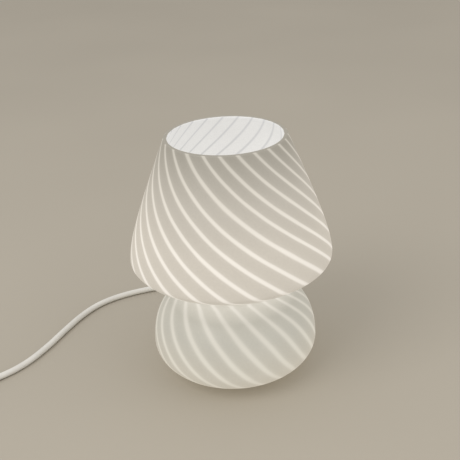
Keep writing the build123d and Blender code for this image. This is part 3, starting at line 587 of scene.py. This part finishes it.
outside_glass = opal_glass(
    "opal_glass_outside", OUTSIDE_PANELS_PAINTED_LIGHT, OUTSIDE_LINES_PAINTED_LIGHT, OUTSIDE_SHAPE, SHADE_SWAY
)
lit_inside_glass = opal_glass(
    "opal_glass_inside_lit", INSIDE_PANELS_PAINTED_LIGHT, INSIDE_LINES_PAINTED_LIGHT, INSIDE_SHAPE, INSIDE_SWAY, INSIDE_STRENGTH
)

# ---------------------------------------------------------------- glass form

INNER_FOOT_R, INNER_FOOT_Z = 31.0, 5.0
RECESS_R, RECESS_TOP = 24.0, 10.0
RECESS_ROUND = 3.0
FLOOR_HOLE_R = 5.6
RIM_ROUND = 1.9
LIP_OUT, LIP_IN = 0.5, 0.2  # how far the melted lip stands past the wall's outside and short of its inside
# degrees round the lip: where it leaves the wall, passes its crest, turns to the inside, painted paler as
# lit by the bulb, and ends
LIP_START, LIP_CREST, LIP_END = 15, 96, 165
INNER_FROM, INNER_NEXT = 124, 131
CURVE_POINTS = 28
ROUND_POINTS = 7
CREST_POINTS = 3
GLASS_SEGMENTS = 224

# How far the wall's handles reach, as shares of their curve's height, and of its width for the lean of
# the cone and the foot. The give is for the inside wall, as a share of how far it is drawn in.
CONE_LEAN, CONE_REACH = 0.35, (0.31, 0.18)
UNDER_REACH, UNDER_GIVE = (0.28, 0.27), (0.85, 1.1)
NECK_REACH, NECK_GIVE = (0.13, 0.75), 0.6
BELLY_REACH, FOOT_LEAN = 0.75, 0.23


def bezier(start, out, into, end, count=CURVE_POINTS):
    """Points along a cubic curve, without its last one."""
    points = []
    for index in range(count):
        along = index / count
        back = 1 - along
        weights = (back**3, 3 * back**2 * along, 3 * back * along**2, along**3)
        handles = (start, out, into, end)
        points.append(tuple(sum(w * p[axis] for w, p in zip(weights, handles)) for axis in (0, 1)))
    return points


def wall_curves(thin, foot_r, foot_z):
    """The four curves of the glass wall from rim to foot, drawn in by thin."""
    rim, shade, waist, base = RIM_R - thin, SHADE_R - thin, WAIST_R - thin, BASE_R - thin
    cone_h, under_h = RIM_Z - SHADE_Z, SHADE_Z - WAIST_Z
    neck_h, belly_h = WAIST_Z - BASE_Z, BASE_Z - foot_z
    return [
        (
            (rim, RIM_Z),
            (rim + CONE_LEAN * (shade - rim), RIM_Z - CONE_REACH[0] * cone_h),
            (shade, SHADE_Z + CONE_REACH[1] * cone_h),
            (shade, SHADE_Z),
        ),
        (
            (shade, SHADE_Z),
            (shade, SHADE_Z - UNDER_REACH[0] * under_h + UNDER_GIVE[0] * thin),
            (waist, WAIST_Z + UNDER_REACH[1] * under_h + UNDER_GIVE[1] * thin),
            (waist, WAIST_Z),
        ),
        (
            (waist, WAIST_Z),
            (waist, WAIST_Z - NECK_REACH[0] * neck_h - NECK_GIVE * thin),
            (base, BASE_Z + NECK_REACH[1] * neck_h - NECK_GIVE * thin),
            (base, BASE_Z),
        ),
        (
            (base, BASE_Z),
            (base, BASE_Z - BELLY_REACH * belly_h),
            (foot_r + FOOT_LEAN * (base - foot_r), foot_z),
            (foot_r, foot_z),
        ),
    ]


def arc(middle, radius, start, end, count=ROUND_POINTS):
    """Points on a circle from start to end, in degrees."""
    points = []
    for index in range(count + 1):
        turn = math.radians(start + (end - start) * index / count)
        points.append((middle[0] + radius * math.cos(turn), middle[1] + radius * math.sin(turn)))
    return points


def wall_points(thin, foot_r, foot_z):
    """One side of the wall, from just under the lip down to the foot."""
    points = [point for curve in wall_curves(thin, foot_r, foot_z) for point in bezier(*curve)]
    return [point for point in points if point[1] < RIM_Z - RIM_ROUND]


def glass_profile():
    """(radius, height) from the hole in the floor, under the foot, up the outside, over the rim and down."""
    outside = wall_points(0.0, FOOT_R, FOOT_Z)
    inside = wall_points(WALL, INNER_FOOT_R, INNER_FOOT_Z)
    crown = (RECESS_R - RECESS_ROUND, RECESS_TOP - RECESS_ROUND)  # middle of the recess's upper round
    below = [(FLOOR_HOLE_R, RECESS_TOP)] + arc(crown, RECESS_ROUND, 90, 0)
    below += [(RECESS_R, FOOT_Z), (FOOT_R, FOOT_Z)]
    floor = [(FLOOR_HOLE_R, RECESS_TOP + WALL)]
    floor += arc((crown[0] + WALL, crown[1] + WALL), RECESS_ROUND, 90, 0)
    floor += arc((INNER_FOOT_R, INNER_FOOT_Z + RECESS_ROUND), RECESS_ROUND, 180, 270)
    lip_z = RIM_Z - RIM_ROUND
    lip_middle = (RIM_R - WALL + LIP_IN + RIM_ROUND, lip_z)
    lip_out = arc((RIM_R + LIP_OUT - RIM_ROUND, lip_z), RIM_ROUND, LIP_START, 90)
    lip_out += arc(lip_middle, RIM_ROUND, LIP_CREST, INNER_FROM, CREST_POINTS)
    lip_in = arc(lip_middle, RIM_ROUND, INNER_NEXT, LIP_END)
    outer_part = below + outside[::-1] + lip_out
    inner_part = lip_in + inside + floor[::-1]
    return outer_part, inner_part


def revolve(name, profile, segments, place=Matrix()):
    """A closed ring mesh: (radius, height) points turned about Z, and then placed, in millimetres."""
    rows = len(profile)
    points, faces = [], []
    for index in range(segments):
        turn = 2 * math.pi * index / segments
        for radius, height in profile:
            spot = Vector((radius * math.cos(turn), radius * math.sin(turn), height))
            points.append(place @ spot * MM)
    for index in range(segments):
        here, there = index * rows, (index + 1) % segments * rows
        for row in range(rows):
            after = (row + 1) % rows
            faces.append((here + row, there + row, there + after, here + after))
    mesh = bpy.data.meshes.new(name)
    mesh.from_pydata(points, [], faces)
    mesh.shade_smooth()
    piece = bpy.data.objects.new(name, mesh)
    bpy.context.scene.collection.objects.link(piece)
    return piece


def add_glass():
    """The blown body, with its inside painted paler than its outside, as lit by the bulb."""
    outer_part, inner_part = glass_profile()
    glass = revolve("blown_glass", outer_part + inner_part, GLASS_SEGMENTS)
    glass.data.materials.append(outside_glass)
    glass.data.materials.append(lit_inside_glass)
    rows = len(outer_part) + len(inner_part)
    for face in glass.data.polygons:
        face.material_index = 1 if face.index % rows >= len(outer_part) else 0
    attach(glass, "lamp")
    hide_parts("glass_body")


add_glass()

# ---------------------------------------------------------------- finishes of the other pieces

FINISHES = {
    "silicone": moulded("silicone", srgb(214, 210, 200), (0.55, 0.7), 0.6 * MM, 0.02 * MM),
    "zinc_steel": metal("zinc_steel", srgb(190, 192, 196)),
    "white_lacquer": moulded("white_lacquer", srgb(232, 230, 224), (0.22, 0.34), 1.5 * MM),
    "holder_white": moulded("holder_white", srgb(228, 226, 219), (0.32, 0.45)),
    "holder_ceramic": moulded("holder_ceramic", srgb(222, 216, 202), (0.15, 0.3), 1.2 * MM, vary=0.08),
    "contact_brass": metal("contact_brass", srgb(212, 176, 104)),
    "cap_aluminium": metal("cap_aluminium", srgb(205, 207, 210)),
    "insulator_black": moulded("insulator_black", srgb(32, 30, 33), (0.12, 0.25), vary=0.15),
    "bulb_white": moulded("bulb_white", srgb(236, 235, 231), (0.3, 0.42)),
    "globe_opal": glowing(
        moulded("globe_opal", srgb(206, 202, 194), (0.3, 0.4), 1.0 * MM), srgb(255, 246, 230), 0.4
    ),
    "board_white": moulded("board_white", srgb(225, 226, 222), (0.35, 0.5)),
    "cord_white": moulded("cord_white", srgb(226, 224, 218), (0.42, 0.56), 0.35 * MM, 0.015 * MM),
    "core_brown": moulded("core_brown", srgb(110, 70, 42), (0.4, 0.5)),
    "core_blue": moulded("core_blue", srgb(48, 92, 158), (0.4, 0.5)),
    "switch_white": moulded(
        "switch_white", srgb(230, 228, 222), (0.3, 0.44), 0.5 * MM, 0.02 * MM, seam=SWITCH_SEAM_Z * MM
    ),
    "plug_white": moulded(
        "plug_white", srgb(228, 226, 220), (0.38, 0.52), 0.45 * MM, 0.02 * MM, seam=PLUG_SEAM_Z * MM
    ),
    "pin_nickel": metal("pin_nickel", srgb(202, 200, 194), (0.15, 0.3), (1, 14, 1)),
    "sleeve_black": moulded("sleeve_black", srgb(38, 38, 40), (0.35, 0.5), vary=0.12),
}


def dress(piece, material):
    """Gives a piece one material in every slot it has."""
    if not piece.material_slots:
        piece.data.materials.append(material)
    for slot in piece.material_slots:
        slot.material = material


for part in frame["record"]["subparts"]:
    if part["material_slot"] in FINISHES:
        dress(NODES[part["node"]], FINISHES[part["material_slot"]])
for flex in (lead, coiled):
    dress(flex, FINISHES["cord_white"])

# ---------------------------------------------------------------- ringed boots and collars

SLEEVE_SEGMENTS = 48
SLEEVE_EDGE = math.radians(35)  # corners sharper than this show as edges
GROOVE_PITCH = 3.0
GROOVE_WIDTH = 1.4
GROOVE_DEPTH = 0.75
# shares of the width across a groove, and of its depth
GROOVE_SECTION = ((-0.5, 0.0), (-0.28, 0.9), (0.0, 1.0), (0.28, 0.9), (0.5, 0.0))
END_ROUND = 0.5

# two flanges of the boot hold the glass between them; places from the lamp's middle
FLANGE_R, NECK_R = 8.0, 5.0
INNER_FLANGE, OUTER_FLANGE = (63.2, 72.4), (73.4, 77.7)
BOOT_START_R, BOOT_END_R = 6.2, 4.2
PLUG_BOOT_LONG = 22.0
PLUG_BOOT_START_R, PLUG_BOOT_END_R = 5.2, 3.9
# a collar's head is inside the switch, and its neck goes through the end wall
COLLAR_HEAD, COLLAR_HEAD_R = (27.4, 29.4), 6.0
COLLAR_NECK_R, COLLAR_END_R = 5.0, 3.9
PLUG_SQUEEZE, COLLAR_SQUEEZE = 0.2, 0.4  # how much narrower than the cord a bore is


def ringed_taper(start, start_r, end, end_r):
    """(radius, distance) along a tapered sleeve with moulded grooves round it and a rounded end."""
    line = [(start_r, start)]
    count = int((end - start - GROOVE_PITCH) / GROOVE_PITCH)
    for index in range(count):
        middle = start + GROOVE_PITCH * (index + 1)
        for offset, depth in GROOVE_SECTION:
            along = middle + offset * GROOVE_WIDTH
            radius = start_r + (end_r - start_r) * (along - start) / (end - start)
            line.append((radius - depth * GROOVE_DEPTH, along))
    return line + arc((end_r - END_ROUND, end - END_ROUND), END_ROUND, 0, 90)


def add_sleeve(name, origin, way, outer, bore_r, finish="cord_white", stands_for=None):
    """A sleeve of moulded rubber turned about a line, with a bore for the cord."""
    bore = [(bore_r, outer[-1][1]), (bore_r, outer[0][1])]
    turned = way.to_track_quat("Z", "Y").to_matrix().to_4x4()
    sleeve = revolve(name, outer + bore, SLEEVE_SEGMENTS, Matrix.Translation(origin) @ turned)
    sleeve.data.set_sharp_from_angle(angle=SLEEVE_EDGE)
    dress(sleeve, FINISHES[finish])
    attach(sleeve, "lamp")
    if stands_for:
        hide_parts(stands_for)
    return sleeve


boot_line = [(FLANGE_R, INNER_FLANGE[0]), (FLANGE_R, INNER_FLANGE[1])]
boot_line += [(NECK_R, INNER_FLANGE[1]), (NECK_R, OUTER_FLANGE[0]), (FLANGE_R, OUTER_FLANGE[0])]
boot_line += arc((FLANGE_R - END_ROUND, OUTER_FLANGE[1] - END_ROUND), END_ROUND, 0, 90)
boot_line += ringed_taper(OUTER_FLANGE[1], BOOT_START_R, BOOT_END, BOOT_END_R)
boot = add_sleeve(
    "ringed_boot", Vector((0, 0, BOOT_Z)), Vector((0, 1, 0)), boot_line, CORD_R, stands_for="cord_boot"
)

plug_boot = add_sleeve(
    "ringed_plug_boot",
    Vector(TAIL_POINTS[-1]),
    Vector((0, -1, 0)),
    ringed_taper(-PLUG_BOOT_LONG, PLUG_BOOT_START_R, 0.0, PLUG_BOOT_END_R),
    CORD_R - PLUG_SQUEEZE,
    finish="plug_white",
    stands_for="plug_boot",
)

collar_line = [(COLLAR_HEAD_R, place) for place in COLLAR_HEAD] + [(COLLAR_NECK_R, COLLAR_HEAD[1])]
collar_line += ringed_taper(SWITCH_HALF, COLLAR_NECK_R, COLLAR_END, COLLAR_END_R)
collar_bore = CORD_R - COLLAR_SQUEEZE
collars = [
    add_sleeve("collar_in", SWITCH_AT, -SWITCH_WAY, collar_line, collar_bore, stands_for="switch_collars"),
    add_sleeve("collar_out", SWITCH_AT, SWITCH_WAY, collar_line, collar_bore),
]

# ---------------------------------------------------------------- marks on the rocker

ROCKER_AT = Vector((SWITCH_AT.x, SWITCH_AT.y, 12.6))  # its pivot
ROCKER_TILT = math.radians(7)
ROCKER_ARC_R = 27.96  # of its hollow top, an arc along it
ROCKER_DIP = 1.5  # lowest line of that top, over the pivot
MARK_FROM_MIDDLE = 6.4
MARK_SIZE = 1.25
MARK_STROKE = 0.5
MARK_RELIEF = 0.16
# shares of half the stroke across it, and heights over the rocker; its edges are sunk in
MARK_SECTION = ((-1.0, -0.1), (-0.7, MARK_RELIEF), (0.7, MARK_RELIEF), (1.0, -0.1))
BAR_STEPS = 8
RING_STEPS = 28


def on_rocker(along, across, over):
    """A place on the rocker's hollow top, as far over it as given."""
    way = SWITCH_WAY * math.cos(ROCKER_TILT) + Vector((0, 0, math.sin(ROCKER_TILT)))
    up = Vector((0, 0, math.cos(ROCKER_TILT))) - SWITCH_WAY * math.sin(ROCKER_TILT)
    side = up.cross(way)
    rise = ROCKER_DIP + ROCKER_ARC_R - math.sqrt(ROCKER_ARC_R**2 - along**2)
    return (ROCKER_AT + way * along + side * across + up * (rise + over)) * MM


def add_mark(name, line, closed):
    """A raised moulded stroke along a line of (along, across) points on the rocker."""
    points, faces = [], []
    count, rows = len(line), len(MARK_SECTION)
    for index, here in enumerate(line):
        before = line[index - 1] if index or closed else here
        after = line[(index + 1) % count] if index + 1 < count or closed else here
        run = Vector((after[0] - before[0], after[1] - before[1])).normalized()
        reach = Vector((-run.y, run.x)) * (MARK_STROKE / 2)
        for share, over in MARK_SECTION:
            points.append(on_rocker(here[0] + reach.x * share, here[1] + reach.y * share, over))
    for index in range(count if closed else count - 1):
        here, there = index * rows, (index + 1) % count * rows
        faces += [(here + row, here + row + 1, there + row + 1, there + row) for row in range(rows - 1)]
    if not closed:
        faces += [tuple(reversed(range(rows))), tuple(range(len(points) - rows, len(points)))]
    mesh = bpy.data.meshes.new(name)
    mesh.from_pydata(points, [], faces)
    mesh.materials.append(mark_finish_painted_shade)
    piece = bpy.data.objects.new(name, mesh)
    bpy.context.scene.collection.objects.link(piece)
    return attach(piece, "rocker")


# the marks are moulded in the rocker's white plastic; their grey is painted shade that makes the low relief
# show
mark_finish_painted_shade = moulded("rocker_mark_painted_shade", srgb(150, 149, 146), (0.4, 0.5))
bar = [(-MARK_FROM_MIDDLE, MARK_SIZE * (2 * step / BAR_STEPS - 1)) for step in range(BAR_STEPS + 1)]
ring = arc((MARK_FROM_MIDDLE, 0.0), MARK_SIZE, 0, 360, RING_STEPS)[:-1]
marks = [add_mark("mark_on", bar, closed=False), add_mark("mark_off", ring, closed=True)]

# ---------------------------------------------------------------- floor and light

# lengths here are in metres, and powers in watts
FLOOR_SIDE = 80.0
FLOOR_COLOUR = srgb(178, 171, 158)
BACKDROP_COLOUR = srgb(162, 155, 143)
FLOOR_PATCH = 0.6
FLOOR_VARY = 0.03
FLOOR_ROUGH = 0.85
FLOOR_SPECULAR = 0.2
LIGHT_TINT = (1.0, 0.985, 0.965, 1.0)
LIGHT_AIM = (0.0, 0.0, 0.12)
WORLD_STRENGTH = 0.8
# place, side and power
KEY_LIGHT = ((-1.1, -1.0, 1.5), 1.2, 12.0)
FILL_LIGHT = ((1.3, -0.7, 1.1), 1.4, 4.0)


def add_floor():
    """A plain matt floor that fills the view."""
    half = FLOOR_SIDE / 2
    corners = [(-half, -half, 0), (half, -half, 0), (half, half, 0), (-half, half, 0)]
    mesh = bpy.data.meshes.new("floor")
    mesh.from_pydata(corners, [], [(0, 1, 2, 3)])
    floor = bpy.data.objects.new("floor", mesh)
    bpy.context.scene.collection.objects.link(floor)
    graph = Graph("floor")
    dark, light = tinted(FLOOR_COLOUR, 1 - FLOOR_VARY), tinted(FLOOR_COLOUR, 1 + FLOOR_VARY)
    graph.feed(graph.shader.inputs["Base Color"], graph.tones(graph.noise(FLOOR_PATCH), dark, light))
    graph.shader.inputs["Roughness"].default_value = FLOOR_ROUGH
    graph.shader.inputs["Specular IOR Level"].default_value = FLOOR_SPECULAR
    mesh.materials.append(graph.material)


def add_area_light(name, place, side, power):
    """A square soft light that looks at the lamp's middle."""
    data = bpy.data.lights.new(name, "AREA")
    data.shape = "SQUARE"
    data.size = side
    data.energy = power
    data.color = LIGHT_TINT[:3]
    light = bpy.data.objects.new(name, data)
    light.location = place
    aim = Vector(LIGHT_AIM) - Vector(place)
    light.rotation_euler = aim.to_track_quat("-Z", "Y").to_euler()
    bpy.context.scene.collection.objects.link(light)


def add_world():
    """Even light from all round; the eye, gloss and glass see a backdrop in the floor's colour."""
    world = bpy.data.worlds.new("world")
    world.use_nodes = True
    tree = world.node_tree
    even = tree.nodes["Background"]
    even.inputs["Color"].default_value = LIGHT_TINT
    even.inputs["Strength"].default_value = WORLD_STRENGTH
    backdrop = tree.nodes.new("ShaderNodeBackground")
    backdrop.inputs["Color"].default_value = BACKDROP_COLOUR
    path = tree.nodes.new("ShaderNodeLightPath")
    seen = path.outputs["Is Camera Ray"]
    for ray in ("Is Glossy Ray", "Is Transmission Ray"):
        either = tree.nodes.new("ShaderNodeMath")
        either.operation = "MAXIMUM"
        tree.links.new(seen, either.inputs[0])
        tree.links.new(path.outputs[ray], either.inputs[1])
        seen = either.outputs[0]
    chosen = tree.nodes.new("ShaderNodeMixShader")
    tree.links.new(seen, chosen.inputs[0])
    tree.links.new(even.outputs[0], chosen.inputs[1])
    tree.links.new(backdrop.outputs[0], chosen.inputs[2])
    tree.links.new(chosen.outputs[0], tree.nodes["World Output"].inputs[0])
    bpy.context.scene.world = world


add_floor()
add_world()
add_area_light("key", *KEY_LIGHT)
add_area_light("fill", *FILL_LIGHT)
bpy.context.scene.view_settings.view_transform = "Standard"

# ---------------------------------------------------------------- last update of the view layer


bpy.context.view_layer.update()
